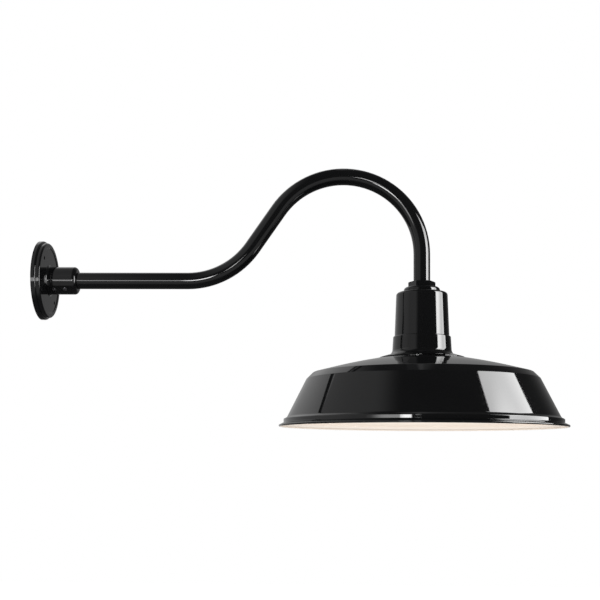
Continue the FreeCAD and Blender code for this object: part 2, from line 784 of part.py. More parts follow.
def shade():
    """Spun shade: seat for the brim, domed crown, knuckle, straight side, bead, cove and rolled lip."""
    lip = size("lip_r")
    rim_r = size("shade_d") / 2.0
    band_r = rim_r - size("lip_out")
    skirt_r = band_r - size("bead_w")
    knuckle_r = skirt_r - size("skirt_w")
    crown_r = knuckle_r - size("knuckle_w")
    crown_start = shade_top + size("brim_drop")
    crown_end = crown_start + size("crown_drop")
    skirt_start = crown_end + size("knuckle_h")
    skirt_end = skirt_start + size("skirt_h")
    band_start = skirt_end + size("bead_h")
    band_end = band_start + size("bead_band")
    lip_top = band_end + size("cove_h")
    corners = [
        (neck_low_r - size("hole_inside"), -shade_top),
        (flare_r, -shade_top),
        (brim_r, -crown_start),
        (crown_r, -crown_end),
        (knuckle_r, -skirt_start),
        (skirt_r, -skirt_end),
        (band_r, -band_start),
        (band_r, -band_end),
        (rim_r - lip, -lip_top, -lip),
        (rim_r, -lip_top - lip, -lip),
        (rim_r - lip, -lip_top - 2.0 * lip),
    ]
    bulged(corners, 2, 3, -size("crown_bulge"))
    bulged(corners, 3, 4, -size("knuckle_bulge"))
    bulged(corners, 5, 6, -size("bead_bulge"))
    bulged(corners, 7, 8, size("cove_bulge"))
    shell = spun("shade", corners, -sheet_wall, lamp_x)
    return finish(shell, "shade")


# ---------------------------------------------------------------- lamp holder

def socket_bracket():
    """Steel bracket clamped under the neck's top, with two legs and turned-in feet."""
    wall = size("strap_wall")
    outer = size("strap_bend_r")
    inner = outer - wall
    half = strap_half
    foot = holder_top_r + size("foot_gap")
    body = new_body("socket_bracket")
    section = draw(sketch_on(body, "YZ_Plane", "bracket_section"), [
        (-half + outer, -strap_top),
        (half - outer, -strap_top, -outer),
        (half, -strap_top - outer),
        (half, -flange_top),
        (foot, -flange_top),
        (foot, -flange_top + wall),
        (half - wall, -flange_top + wall),
        (half - wall, -clamp_top - inner, inner),
        (half - outer, -clamp_top),
        (-half + outer, -clamp_top, inner),
        (-half + wall, -clamp_top - inner),
        (-half + wall, -flange_top + wall),
        (-foot, -flange_top + wall),
        (-foot, -flange_top),
        (-half, -flange_top),
        (-half, -strap_top - outer, -outer),
    ])
    pad(body, section, size("strap_w"), both_ways=True)
    doc.recompute()
    hole = sketch_on(body, "XY_Plane", "spigot_hole", offset=-strap_top)
    draw_circle(hole, 0.0, 0.0, spigot_r + seat_gap)
    pocket(body, hole, "spigot_hole_cut", length=wall)
    taps = sketch_on(body, "XY_Plane", "bracket_taps", offset=-flange_top)
    for side in (-1.0, 1.0):
        draw_circle(taps, 0.0, side * fix_place, size("fix_screw_d") / 2.0)
    pocket(body, taps, "bracket_taps_cut", flipped=True, length=wall)
    return at_lamp_axis(body, "socket_bracket")


def lampholder():
    """Porcelain lamp holder, flanged, open below, with wells for the leads on top."""
    round_r = size("holder_round")
    flange_r = strap_half + size("flange_over")
    mouth_r = size("shell_d") / 2.0 + seat_gap
    mouth = socket_floor + size("socket_h")
    body = turned("lampholder", [
        (0.0, -holder_top),
        (holder_top_r - round_r, -holder_top, -round_r),
        (holder_top_r, -holder_top - round_r),
        (holder_top_r, -flange_top),
        (flange_r - round_r, -flange_top, -round_r),
        (flange_r, -flange_top - round_r),
        (flange_r, -flange_low),
        (holder_r, -flange_low),
        (holder_r, -mouth + round_r, -round_r),
        (holder_r - round_r, -mouth),
        (mouth_r, -mouth),
        (mouth_r, -socket_floor),
        (0.0, -socket_floor),
    ])
    doc.recompute()
    wells = sketch_on(body, "XY_Plane", "lead_wells", offset=-holder_top)
    for side in (-1.0, 1.0):
        draw_circle(wells, side * size("lead_place"), side * size("lead_side"), size("lead_d") / 2.0 + seat_gap)
    pocket(body, wells, "lead_wells_cut", length=size("lead_sink") + size("well_spare"))
    for side in (-1.0, 1.0):
        tap = sketch_on(body, "YZ_Plane", "terminal_tap", offset=side * size("lead_place"))
        draw_circle(tap, side * size("lead_side"), -term_depth, size("term_screw_d") / 2.0)
        pocket(body, tap, "terminal_tapped", flipped=side > 0.0)
    holes = sketch_on(body, "XY_Plane", "flange_holes", offset=-flange_top)
    for side in (-1.0, 1.0):
        draw_circle(holes, 0.0, side * fix_place, size("fix_screw_d") / 2.0)
    pocket(body, holes, "flange_holes_cut", length=size("flange_h"))
    rivet = sketch_on(body, "XY_Plane", "rivet_hole", offset=-socket_floor)
    draw_circle(rivet, -rivet_place, 0.0, size("rivet_d") / 2.0 + seat_gap)
    pocket(body, rivet, "rivet_hole_cut", flipped=True, length=size("rivet_l") + seat_gap)
    return at_lamp_axis(body, "lampholder")


def screw_shell():
    """Thin plated shell that the lamp's cap screws into."""
    shell_r = size("shell_d") / 2.0
    shell = spun("shell", [
        (size("shell_lip_d") / 2.0, -socket_floor),
        (shell_r, -socket_floor),
        (shell_r, -socket_floor - size("shell_h")),
    ], -size("shell_wall"), lamp_x)
    return finish(shell, "screw_shell")


def centre_contact():
    """Sprung tongue that meets the lamp's end contact."""
    wall = size("tongue_wall")
    low = socket_floor + size("tongue_drop")
    root = size("tongue_root")
    bend = root - size("tongue_flat")
    tip_rise = size("tongue_drop") / 3.0
    body = new_body("centre_contact")
    section = draw(sketch_on(body, "XZ_Plane", "tongue_section"), [
        (-root, -socket_floor),
        (-bend, -socket_floor),
        (-bend / 3.0, -low + wall),
        (bend / 2.0, -low + wall),
        (bend, -low + wall + tip_rise),
        (bend + wall * 0.8, -low + tip_rise),
        (bend * 0.55, -low),
        (-bend * 0.4, -low),
        (-bend - wall * 0.6, -socket_floor - wall),
        (-root, -socket_floor - wall),
    ])
    pad(body, section, size("tongue_w"), both_ways=True)
    doc.recompute()
    hole = sketch_on(body, "XY_Plane", "tongue_hole", offset=-socket_floor)
    draw_circle(hole, -rivet_place, 0.0, size("rivet_d") / 2.0 + seat_gap)
    pocket(body, hole, "tongue_hole_cut", length=wall)
    return at_lamp_axis(body, "centre_contact")


def contact_rivet():
    """Rivet that holds the tongue's root against the porcelain."""
    seat = socket_floor + size("tongue_wall")
    head_r = size("rivet_head_d") / 2.0
    head_h = size("rivet_head_h")
    stem_r = size("rivet_d") / 2.0
    stem_top = -socket_floor + size("rivet_l")
    body = turned("contact_rivet", [
        (0.0, -seat - head_h),
        (head_r * 0.7, -seat - head_h),
        (head_r, -seat - head_h * 0.4),
        (head_r, -seat),
        (stem_r, -seat),
        (stem_r, stem_top),
        (0.0, stem_top),
    ])
    place(body, x=lamp_x - rivet_place)
    return finish(body, "contact_rivet")


def slotted_screw(name, shank_r, shank_l, head_r, head_h):
    """Cheese-head screw along its own Z axis, seated at zero with its head above."""
    body = turned(name, [
        (0.0, -shank_l),
        (shank_r, -shank_l),
        (shank_r, 0.0),
        (head_r, 0.0),
        (head_r, head_h * 0.65),
        (head_r * 0.85, head_h),
        (0.0, head_h),
    ])
    doc.recompute()
    slot = sketch_on(body, "XY_Plane", name + "_slot", offset=head_h)
    half = head_r * 0.14
    draw(slot, [(-head_r, -half), (head_r, -half), (head_r, half), (-head_r, half)])
    pocket(body, slot, "slot_cut", length=head_h * 0.45)
    return body


def bracket_screws():
    """Two screws up through the porcelain's flange into the bracket's feet."""
    length = size("flange_h") + size("strap_wall") + size("fix_spare")
    screws = []
    for number, side in enumerate((-1.0, 1.0)):
        body = slotted_screw("bracket_screw_%d" % number, size("fix_screw_d") / 2.0 - seat_gap, length,
                             size("fix_head_d") / 2.0, size("fix_head_h"))
        place(body, x=lamp_x, y=side * fix_place, z=-flange_low, turn=(vector(1, 0, 0), 180.0))
        screws.append(body)
    return finish(group("fixing_screws", screws), "bracket_screws")


def terminal_screws():
    """Two screws that clamp the leads' ends, one on each side of the porcelain."""
    length = holder_top_r - size("lead_place") - size("lead_d") / 2.0 - seat_gap
    screws = []
    for number, side in enumerate((-1.0, 1.0)):
        body = slotted_screw("terminal_screw_%d" % number, size("term_screw_d") / 2.0 - seat_gap, length,
                             size("term_head_d") / 2.0, size("term_head_h"))
        place(body, x=lamp_x + side * holder_top_r, y=side * size("lead_side"), z=-term_depth,
              turn=(vector(0, 1, 0), side * 90.0))
        screws.append(body)
    return finish(group("wire_screws", screws), "terminal_screws")


# ---------------------------------------------------------------- lamp

def lamp():
    """Screw-in lamp in four pieces, its end contact just clear of the sprung tongue."""
    contact_top = socket_floor + size("tongue_drop") + size("end_gap")
    contact_r = size("lamp_contact_d") / 2.0
    contact_low = contact_top + size("lamp_contact_h")
    at_lamp_axis(turned("lamp_contact", [
        (0.0, -contact_top),
        (contact_r * 0.75, -contact_top),
        (contact_r, -contact_low),
        (0.0, -contact_low),
    ]), "lamp_contact")

    cap_top = contact_low + size("insulator_h")
    at_lamp_axis(turned("lamp_insulator", [
        (0.0, -contact_low),
        (contact_r + size("insulator_w") * 0.1, -contact_low),
        (contact_r + size("insulator_w"), -cap_top),
        (0.0, -cap_top),
    ]), "lamp_insulator")

    cap_r = size("shell_d") / 2.0 - size("shell_wall") - size("cap_gap")
    cap_round = size("cap_round")
    cap_end = cap_top + size("cap_h")
    cap = spun("cap", [
        (contact_r + cap_round, -cap_top),
        (cap_r - cap_round, -cap_top, -cap_round),
        (cap_r, -cap_top - cap_round),
        (cap_r, -cap_end),
    ], -size("cap_wall"), lamp_x)
    finish(cap, "lamp_cap")

    # The hollow curve of the glass neck runs tangent into the globe.
    neck_r = cap_r - size("cap_wall") - size("glass_gap")
    globe_r = size("glass_d") / 2.0
    hollow_r = size("glass_neck_r")
    across = neck_r + hollow_r
    reach = globe_r + hollow_r
    down = square_root(reach * reach - across * across)
    globe_depth = cap_end + down
    glass = spun("glass", [
        (neck_r, -cap_end + size("glass_in_cap")),
        (neck_r, -cap_end, hollow_r),
        (across * globe_r / reach, -globe_depth + down * globe_r / reach, -globe_r),
        (0.0, -globe_depth - globe_r),
    ], -size("glass_wall"), lamp_x)
    finish(glass, "lamp_glass")


def main():
    wall_plate()
    set_screws()
    ground_screw()
    gooseneck_arm()
    lead("live_lead", -1.0)
    lead("neutral_lead", 1.0)
    pipe_hole = pipe_r + seat_gap
    at_lamp_axis(hex_nut("lock_nut", size("nut_corner_d"), hub_top - size("nut_h"), hub_top, pipe_hole),
                 "hex_lock_nut")
    hub()
    socket_neck()
    clamp_corner_d = 2.0 * (spigot_r + size("clamp_nut_w"))
    at_lamp_axis(hex_nut("clamp_ring", clamp_corner_d, clamp_top, clamp_low, spigot_r + seat_gap),
                 "clamp_nut")
    fitter_collar()
    shade()
    socket_bracket()
    lampholder()
    screw_shell()
    centre_contact()
    contact_rivet()
    bracket_screws()
    terminal_screws()
    lamp()
    doc.recompute()
    failed = [item.Name for item in doc.Objects if {"Invalid", "Error"} & set(item.State)]
    if failed:
        raise RuntimeError("these objects failed: %s" % ", ".join(failed))
    os.makedirs("parts", exist_ok=True)
    for item in parts:
        if item.Shape.isNull() or not item.Shape.isValid():
            raise RuntimeError("%s has no valid shape" % item.Label)
        item.Shape.exportStep("parts/%s.step" % item.Label)
        print("%-22s %10.1f mm3  %d" % (item.Label, item.Shape.Volume, len(item.Shape.Solids)))


main()
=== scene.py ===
"""Gooseneck wall sconce in black enamel: wall plate, bent pipe arm, spun shade and lamp."""
import logging
import math
from dataclasses import dataclass, field
from enum import Enum
from typing import Callable, Dict, List, Mapping, Optional, Sequence, Tuple, Union

import bmesh
import bpy
from mathutils import Matrix, Vector


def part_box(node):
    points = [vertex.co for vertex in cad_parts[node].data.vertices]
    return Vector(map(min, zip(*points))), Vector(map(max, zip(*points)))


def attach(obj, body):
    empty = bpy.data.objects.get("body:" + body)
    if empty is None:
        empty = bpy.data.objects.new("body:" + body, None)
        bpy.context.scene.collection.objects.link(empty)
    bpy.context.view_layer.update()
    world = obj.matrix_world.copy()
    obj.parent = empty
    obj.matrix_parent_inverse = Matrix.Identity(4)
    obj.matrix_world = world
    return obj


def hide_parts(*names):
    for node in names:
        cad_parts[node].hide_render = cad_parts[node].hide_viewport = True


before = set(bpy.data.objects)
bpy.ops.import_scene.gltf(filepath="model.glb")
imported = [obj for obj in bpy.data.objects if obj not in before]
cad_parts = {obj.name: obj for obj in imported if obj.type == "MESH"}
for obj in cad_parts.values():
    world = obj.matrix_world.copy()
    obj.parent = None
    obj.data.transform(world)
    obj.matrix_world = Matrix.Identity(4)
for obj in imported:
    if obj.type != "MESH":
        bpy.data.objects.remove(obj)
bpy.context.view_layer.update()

MM = 0.001
PHOTO_PIXELS = 600

Number = Union[int, float]
Colour = Tuple[float, float, float]
Point = Tuple[float, float, float]
ProfilePoint = Tuple[float, float]

log = logging.getLogger("sconce")


class Body(Enum):
    """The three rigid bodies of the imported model."""

    WALL = "wall_mount"
    ARM = "arm_and_head"
    LAMP = "lamp"


# ---------------------------------------------------------------- shader maths


class Signal:
    """A number, vector or colour in a shader, used in plain Python expressions."""

    def __init__(self, shader: "Shader", socket: bpy.types.NodeSocket) -> None:
        """Wraps an output socket.

        Args:
            shader: The shader that owns the socket.
            socket: The output socket itself.
        """
        self.shader = shader
        self.socket = socket

    def _maths(self, operation: str, *terms: Union["Signal", Number]) -> "Signal":
        """Adds a Math node.

        Args:
            operation: The node's operation.
            terms: Its inputs in order.

        Returns:
            The node's result.
        """
        settings = {"operation": operation}
        return self.shader.node("ShaderNodeMath", settings, dict(enumerate(terms)))["Value"]

    def __add__(self, other: Union["Signal", Number]) -> "Signal":
        """Sum."""
        return self._maths("ADD", self, other)

    def __radd__(self, other: Union["Signal", Number]) -> "Signal":
        """Sum, with the number first."""
        return self._maths("ADD", other, self)

    def __sub__(self, other: Union["Signal", Number]) -> "Signal":
        """Difference."""
        return self._maths("SUBTRACT", self, other)

    def __rsub__(self, other: Union["Signal", Number]) -> "Signal":
        """Difference, with the number first."""
        return self._maths("SUBTRACT", other, self)

    def __mul__(self, other: Union["Signal", Number]) -> "Signal":
        """Product."""
        return self._maths("MULTIPLY", self, other)

    def __rmul__(self, other: Union["Signal", Number]) -> "Signal":
        """Product, with the number first."""
        return self._maths("MULTIPLY", other, self)

    def __neg__(self) -> "Signal":
        """Opposite."""
        return self._maths("MULTIPLY", self, -1.0)

    def __abs__(self) -> "Signal":
        """Size without its sign."""
        return self._maths("ABSOLUTE", self)

    def sine(self) -> "Signal":
        """Sine of an angle in radians."""
        return self._maths("SINE", self)

    def angle(self, other: Union["Signal", Number]) -> "Signal":
        """Angle in radians whose sine and cosine go as this and the other."""
        return self._maths("ARCTAN2", self, other)

    def larger(self, other: Union["Signal", Number]) -> "Signal":
        """The larger of the two."""
        return self._maths("MAXIMUM", self, other)

    def step(self, low: float, high: float) -> "Signal":
        """Goes smoothly from 0 at low to 1 at high.

        Args:
            low: Value that gives 0.
            high: Value that gives 1.

        Returns:
            The smooth step.
        """
        settings = {"interpolation_type": "SMOOTHSTEP"}
        sockets = {"Value": self, "From Min": low, "From Max": high, "To Min": 0.0, "To Max": 1.0}
        return self.shader.node("ShaderNodeMapRange", settings, sockets)["Result"]

    def spread(self, low: float, high: float) -> "Signal":
        """Stretches 0..1 to low..high.

        Args:
            low: Result where this is 0.
            high: Result where this is 1.

        Returns:
            The stretched value.
        """
        return low + self * (high - low)


Feed = Union[Signal, Number, Sequence[float]]


class Node:
    """A shader node whose outputs are read by name."""

    def __init__(self, shader: "Shader", node: bpy.types.Node) -> None:
        """Wraps a node of a shader."""
        self.shader = shader
        self.node = node

    def __getitem__(self, name: str) -> Signal:
        """The output of that name."""
        enabled = [s for s in self.node.outputs if s.name == name and s.enabled]
        return Signal(self.shader, enabled[0])


class Shader:
    """Builds the node tree of one material or of the world."""

    # Places of the factor, both colours and the result on a Mix node that mixes colours.
    MIX_INPUTS = (0, 6, 7)
    MIX_RESULT = 2

    def __init__(self, tree: bpy.types.NodeTree) -> None:
        """Empties a node tree and starts on it."""
        self.tree = tree
        tree.nodes.clear()

    def node(self, kind: str, settings: Optional[Mapping[str, object]] = None,
             sockets: Optional[Mapping[Union[int, str], Feed]] = None) -> Node:
        """Adds one node.

        Args:
            kind: The node's type.
            settings: Its properties, which are set before its inputs.
            sockets: Values or signals for its inputs, by name or by place.

        Returns:
            The new node.
        """
        node = self.tree.nodes.new(kind)
        for name, value in (settings or {}).items():
            setattr(node, name, value)
        for name, value in (sockets or {}).items():
            self._feed(self._input(node, name), value)
        return Node(self, node)

    def _feed(self, socket: bpy.types.NodeSocket, value: Feed) -> None:
        """Links a signal to an input, or sets the input to a plain value.

        Args:
            socket: The input.
            value: What goes into it.
        """
        if isinstance(value, Signal):
            self.tree.links.new(value.socket, socket)
        else:
            socket.default_value = value

    @staticmethod
    def _input(node: bpy.types.Node, name: Union[int, str]) -> bpy.types.NodeSocket:
        """Finds an input by its place or its name.

        Args:
            node: The node to look in.
            name: Place or name of the input.

        Returns:
            The input that is in use.
        """
        if isinstance(name, int):
            return node.inputs[name]
        return [s for s in node.inputs if s.name == name and s.enabled][0]

    def place(self) -> Signal:
        """The point on the surface in metres, which moves with the piece."""
        return self.node("ShaderNodeTexCoord")["Object"]

    def facing(self) -> Signal:
        """The surface's direction, which turns with the piece."""
        return self.node("ShaderNodeTexCoord")["Normal"]

    def vector(self, operation: str, first: Feed, second: Optional[Feed] = None,
               output: str = "Vector") -> Signal:
        """Adds a Vector Math node.

        Args:
            operation: The node's operation.
            first: Its first vector.
            second: Its second vector, where the operation takes two.
            output: Name of the output to take.

        Returns:
            The result.
        """
        sockets = {0: first} if second is None else {0: first, 1: second}
        return self.node("ShaderNodeVectorMath", {"operation": operation}, sockets)[output]

    def parts(self, vector: Signal) -> Tuple[Signal, Signal, Signal]:
        """Splits a vector into its three numbers."""
        split = self.node("ShaderNodeSeparateXYZ", None, {"Vector": vector})
        return split["X"], split["Y"], split["Z"]

    def noise(self, scale: float, detail: float = 2.0, stretch: Point = (1.0, 1.0, 1.0)) -> Signal:
        """Soft random pattern between 0 and 1.

        Args:
            scale: Patches in a metre.
            detail: Number of finer layers.
            stretch: Factors on the three directions.

        Returns:
            The pattern.
        """
        where = self.vector("MULTIPLY", self.place(), stretch)
        sockets = {"Vector": where, "Scale": scale, "Detail": detail}
        return self.node("ShaderNodeTexNoise", None, sockets)["Fac"]

    def specks(self, scale: float, size: float) -> Signal:
        """Small scattered specks: 1 inside a speck, fading to 0 over its outer half.

        Args:
            scale: Specks in a metre.
            size: Size of a speck as a share of their spacing.

        Returns:
            The mask.
        """
        cells = self.node("ShaderNodeTexVoronoi", None, {"Vector": self.place(), "Scale": scale})
        return 1.0 - cells["Distance"].step(size * 0.5, size)

    def mix(self, amount: Feed, first: Feed, second: Feed) -> Signal:
        """Mixes two colours.

        Args:
            amount: 0 gives the first colour and 1 the second.
            first: A colour with its alpha, or a signal.
            second: A colour with its alpha, or a signal.

        Returns:
            The mixed colour.
        """
        mixer = self.node("ShaderNodeMix", {"data_type": "RGBA"})
        for place, value in zip(self.MIX_INPUTS, (amount, first, second)):
            self._feed(mixer.node.inputs[place], value)
        return Signal(self, mixer.node.outputs[self.MIX_RESULT])

    def relief(self, height: Signal, distance: float, strength: float = 1.0) -> Signal:
        """Turns a height pattern into a surface direction.

        Args:
            height: Height between 0 and 1.
            distance: Metres between height 0 and 1.
            strength: Share of the relief that is kept.

        Returns:
            The bumped direction.
        """
        sockets = {"Height": height, "Distance": distance, "Strength": strength}
        return self.node("ShaderNodeBump", None, sockets)["Normal"]


def opaque(colour: Colour) -> Tuple[float, float, float, float]:
    """A colour with its alpha of 1."""
    return (*colour, 1.0)


def grey(level: float) -> Tuple[float, float, float, float]:
    """A grey of that level with its alpha of 1."""
    return opaque((level, level, level))


# ---------------------------------------------------------------- finishes

MADE_MATERIALS: Dict[str, bpy.types.Material] = {}


@dataclass(frozen=True)
class Finish:
    """What a piece is covered with. Each kind paints its own shader."""

    name: str

    def material(self) -> bpy.types.Material:
        """Makes the material once and gives the same one after that."""
        if self.name in MADE_MATERIALS:
            return MADE_MATERIALS[self.name]
        made = bpy.data.materials.new(self.name)
        MADE_MATERIALS[self.name] = made
        made.use_nodes = True
        shader = Shader(made.node_tree)
        surface = self.paint(shader)
        shader.node("ShaderNodeOutputMaterial", None, {"Surface": surface})
        return made

    def paint(self, shader: Shader) -> Signal:
        """Builds the surface; each finish has its own."""
        raise NotImplementedError

    @staticmethod
    def principled(shader: Shader, **sockets: Feed) -> Signal:
        """Adds the main surface node.

        Args:
            shader: The shader it goes into.
            sockets: Its inputs, with an underscore for each space.

        Returns:
            The surface.
        """
        named = {name.replace("_", " "): value for name, value in sockets.items()}
        return shader.node("ShaderNodeBsdfPrincipled", None, named)["BSDF"]


@dataclass(frozen=True)
class BlackEnamel(Finish):
    """Deep gloss black enamel, with the slow waves of the metal under it and a fine orange peel."""

    dark: Colour = (0.0030, 0.0031, 0.0034)
    pale: Colour = (0.0052, 0.0053, 0.0056)
    tone_scale: float = 14.0
    roughness: float = 0.05
    mark_scale: float = 90.0
    mark_range: Tuple[float, float] = (0.5, 0.85)
    mark_roughness: float = 0.035
    dust_scale: float = 520.0
    dust_size: float = 0.07
    dust_roughness: float = 0.16
    wave: float = 0.000020
    wave_scale: float = 45.0
    peel: float = 0.0000004
    peel_scale: float = 420.0
    refraction: float = 1.52

    def tone(self, shader: Shader) -> Signal:
        """The black, slightly uneven."""
        return shader.mix(shader.noise(self.tone_scale), opaque(self.dark), opaque(self.pale))

    def gloss(self, shader: Shader) -> Signal:
        """Roughness: mostly polished, with faint handling marks and dust."""
        marks = shader.noise(self.mark_scale, detail=4.0).step(*self.mark_range)
        dust = shader.specks(self.dust_scale, self.dust_size)
        return self.roughness + marks * self.mark_roughness + dust * self.dust_roughness

    def surface_direction(self, shader: Shader) -> Signal:
        """Waves and orange peel together."""
        waves = shader.noise(self.wave_scale, detail=1.0)
        peel = shader.noise(self.peel_scale, detail=2.0)
        height = waves + peel * (self.peel / self.wave)
        return shader.relief(height, self.wave)

    def paint(self, shader: Shader) -> Signal:
        """Builds the enamel.

        Args:
            shader: The shader it goes into.

        Returns:
            The surface.
        """
        return self.principled(
            shader,
            Base_Color=self.tone(shader),
            Roughness=self.gloss(shader),
            Normal=self.surface_direction(shader),
            IOR=self.refraction,
        )


@dataclass(frozen=True)
class ShadeEnamel(BlackEnamel):
    """Black enamel outside and warm white enamel inside, over the waves and rings of spun metal."""

    axis: Point = (0.0, 0.0, 0.0)
    white: Colour = (0.97, 0.885, 0.80)
    cream: Colour = (0.96, 0.865, 0.775)
    lining_scale: float = 9.0
    lining_edge: float = 0.2265
    edge_blur: float = 0.0004
    inside_turn: Tuple[float, float] = (-0.30, -0.22)
    inside_roughness: float = 0.16
    wave: float = 0.000045
    wave_scale: float = 26.0
    ring: float = 0.0026
    ring_share: float = 0.004

    def from_axis(self, shader: Shader) -> Signal:
        """The way from the lamp axis to the surface, without its height."""
        offset = shader.vector("SUBTRACT", shader.place(), self.axis)
        return shader.vector("MULTIPLY", offset, (1.0, 1.0, 0.0))

    def outward(self, shader: Shader) -> Signal:
        """How far the surface looks out of the bowl: above 0 outside, below 0 inside."""
        radial = shader.vector("NORMALIZE", self.from_axis(shader))
        facing = shader.facing()
        across = shader.vector("DOT_PRODUCT", radial, facing, "Value")
        return across + shader.parts(facing)[2]

    def paint(self, shader: Shader) -> Signal:
        """Builds both sides of the sheet. The black runs round the rolled lip to the lining's edge.

        Args:
            shader: The shader it goes into.

        Returns:
            The surface.
        """
        radius = shader.vector("LENGTH", self.from_axis(shader), output="Value")
        within = 1.0 - radius.step(self.lining_edge, self.lining_edge + self.edge_blur)
        inside = (1.0 - self.outward(shader).step(*self.inside_turn)) * within
        patches = shader.noise(self.lining_scale, detail=1.0)
        lining = shader.mix(patches, opaque(self.white), opaque(self.cream))
        rings = (radius * (2.0 * math.pi / self.ring)).sine() * 0.5 + 0.5
        waves = shader.noise(self.wave_scale, detail=0.0)
        peel = shader.noise(self.peel_scale, detail=2.0)
        height = waves + peel * (self.peel / self.wave) + rings * self.ring_share
        return self.principled(
            shader,
            Base_Color=shader.mix(inside, self.tone(shader), lining),
            Roughness=self.gloss(shader) + inside * self.inside_roughness,
            Normal=shader.relief(height, self.wave),
            IOR=self.refraction,
        )


@dataclass(frozen=True)
class CastEnamel(BlackEnamel):
    """The same enamel over a casting, whose grain shows through."""

    roughness: float = 0.06
    grain: float = 0.000002
    grain_scale: float = 260.0

    def surface_direction(self, shader: Shader) -> Signal:
        """Grain of the casting under the enamel."""
        grain = shader.noise(self.grain_scale, detail=3.0)
        waves = shader.noise(self.wave_scale, detail=1.0)
        return shader.relief(waves + grain * (self.grain / self.wave), self.wave)


@dataclass(frozen=True)
class Metal(Finish):
    """Bare or plated metal with fine scratches and cloudy patches."""

    tone: Colour = (0.70, 0.70, 0.69)
    stain: Colour = (0.48, 0.48, 0.48)
    roughness: float = 0.26
    scratch: float = 0.000004
    stretch: Point = (1.0, 1.0, 8.0)
    scratch_scale: float = 1400.0
    cloud_scale: float = 160.0
    cloud_range: Tuple[float, float] = (0.35, 0.8)
    smoother: float = 0.06
    rougher: float = 0.12

    def paint(self, shader: Shader) -> Signal:
        """Builds the metal.

        Args:
            shader: The shader it goes into.

        Returns:
            The surface.
        """
        clouds = shader.noise(self.cloud_scale, detail=3.0)
        stained = clouds.step(*self.cloud_range)
        scratches = shader.noise(self.scratch_scale, detail=2.0, stretch=self.stretch)
        return self.principled(
            shader,
            Base_Color=shader.mix(stained, opaque(self.tone), opaque(self.stain)),
            Metallic=1.0,
            Roughness=clouds.spread(self.roughness - self.smoother, self.roughness + self.rougher),
            Normal=shader.relief(scratches, self.scratch),
        )


@dataclass(frozen=True)
class GlazedPorcelain(Finish):
    """White glazed porcelain with a soft cream tone and tiny pits."""

    white: Colour = (0.84, 0.83, 0.79)
    cream: Colour = (0.76, 0.73, 0.66)
    patch_scale: float = 60.0
    patch_range: Tuple[float, float] = (0.3, 0.9)
    roughness: Tuple[float, float] = (0.10, 0.2)
    pit: float = 0.00002
    pit_scale: float = 330.0
    pit_size: float = 0.12
    pit_roughness: float = 0.3
    pit_strength: float = 0.6
    refraction: float = 1.54

    def paint(self, shader: Shader) -> Signal:
        """Builds the glaze.

        Args:
            shader: The shader it goes into.

        Returns:
            The surface.
        """
        patches = shader.noise(self.patch_scale, detail=3.0)
        creamy = patches.step(*self.patch_range)
        pits = shader.specks(self.pit_scale, self.pit_size)
        return self.principled(
            shader,
            Base_Color=shader.mix(creamy, opaque(self.white), opaque(self.cream)),
            Roughness=patches.spread(*self.roughness) + pits * self.pit_roughness,
            Normal=shader.relief(1.0 - pits, self.pit, self.pit_strength),
            IOR=self.refraction,
        )


@dataclass(frozen=True)
class Insulation(Finish):
    """Braided sleeve of a lead in one colour, with a slanted weave whose grooves are darkened by
    painted shade.
    """

    yarn: Colour = (0.02, 0.02, 0.021)
    # painted shade: colour of the weave's grooves, darker than the yarn to stand in for shade in
    # the recesses
    painted_groove_shade: Colour = (0.008, 0.008, 0.008)
    weave: float = 2600.0
    groove_roughness: float = 0.75
    yarn_roughness: float = 0.5
    depth: float = 0.00008

    def paint(self, shader: Shader) -> Signal:
        """Builds the braid.

        Args:
            shader: The shader it goes into.

        Returns:
            The surface.
        """
        x, y, z = shader.parts(shader.place())
        left = ((x + y + z) * self.weave).sine()
        right = ((x - y - z) * self.weave).sine()
        braid = (left * right) * 0.5 + 0.5
        return self.principled(
            shader,
            # Base colour goes from the yarn to painted shade in the grooves
            Base_Color=shader.mix(braid, opaque(self.painted_groove_shade), opaque(self.yarn)),
            Roughness=braid.spread(self.groove_roughness, self.yarn_roughness),
            Normal=shader.relief(braid, self.depth),
        )


@dataclass(frozen=True)
class OpalGlass(Finish):
    """Soft white coated glass of the lamp."""

    white: Colour = (0.88, 0.87, 0.84)
    dim: Colour = (0.82, 0.80, 0.76)
    cloud_scale: float = 40.0
    cloud_range: Tuple[float, float] = (0.3, 0.8)
    roughness: Tuple[float, float] = (0.16, 0.24)
    grain: float = 0.000004
    grain_scale: float = 900.0
    refraction: float = 1.5

    def paint(self, shader: Shader) -> Signal:
        """Builds the glass.

        Args:
            shader: The shader it goes into.

        Returns:
            The surface.
        """
        cloud = shader.noise(self.cloud_scale, detail=2.0)
        dimmed = cloud.step(*self.cloud_range)
        return self.principled(
            shader,
            Base_Color=shader.mix(dimmed, opaque(self.white), opaque(self.dim)),
            Roughness=cloud.spread(*self.roughness),
            Normal=shader.relief(shader.noise(self.grain_scale), self.grain),
            IOR=self.refraction,
        )


@dataclass(frozen=True)
class BlackGlass(Finish):
    """Dark pressed glass of the lamp's insulator."""

    dark: Colour = (0.012, 0.011, 0.014)
    violet: Colour = (0.030, 0.022, 0.034)
    swirl_scale: float = 300.0
    roughness: Tuple[float, float] = (0.08, 0.22)
    refraction: float = 1.5

    def paint(self, shader: Shader) -> Signal:
        """Builds the glass.

        Args:
            shader: The shader it goes into.

        Returns:
            The surface.
        """
        swirl = shader.noise(self.swirl_scale, detail=3.0)
        return self.principled(
            shader,
            Base_Color=shader.mix(swirl, opaque(self.dark), opaque(self.violet)),
            Roughness=swirl.spread(*self.roughness),
            IOR=self.refraction,
        )


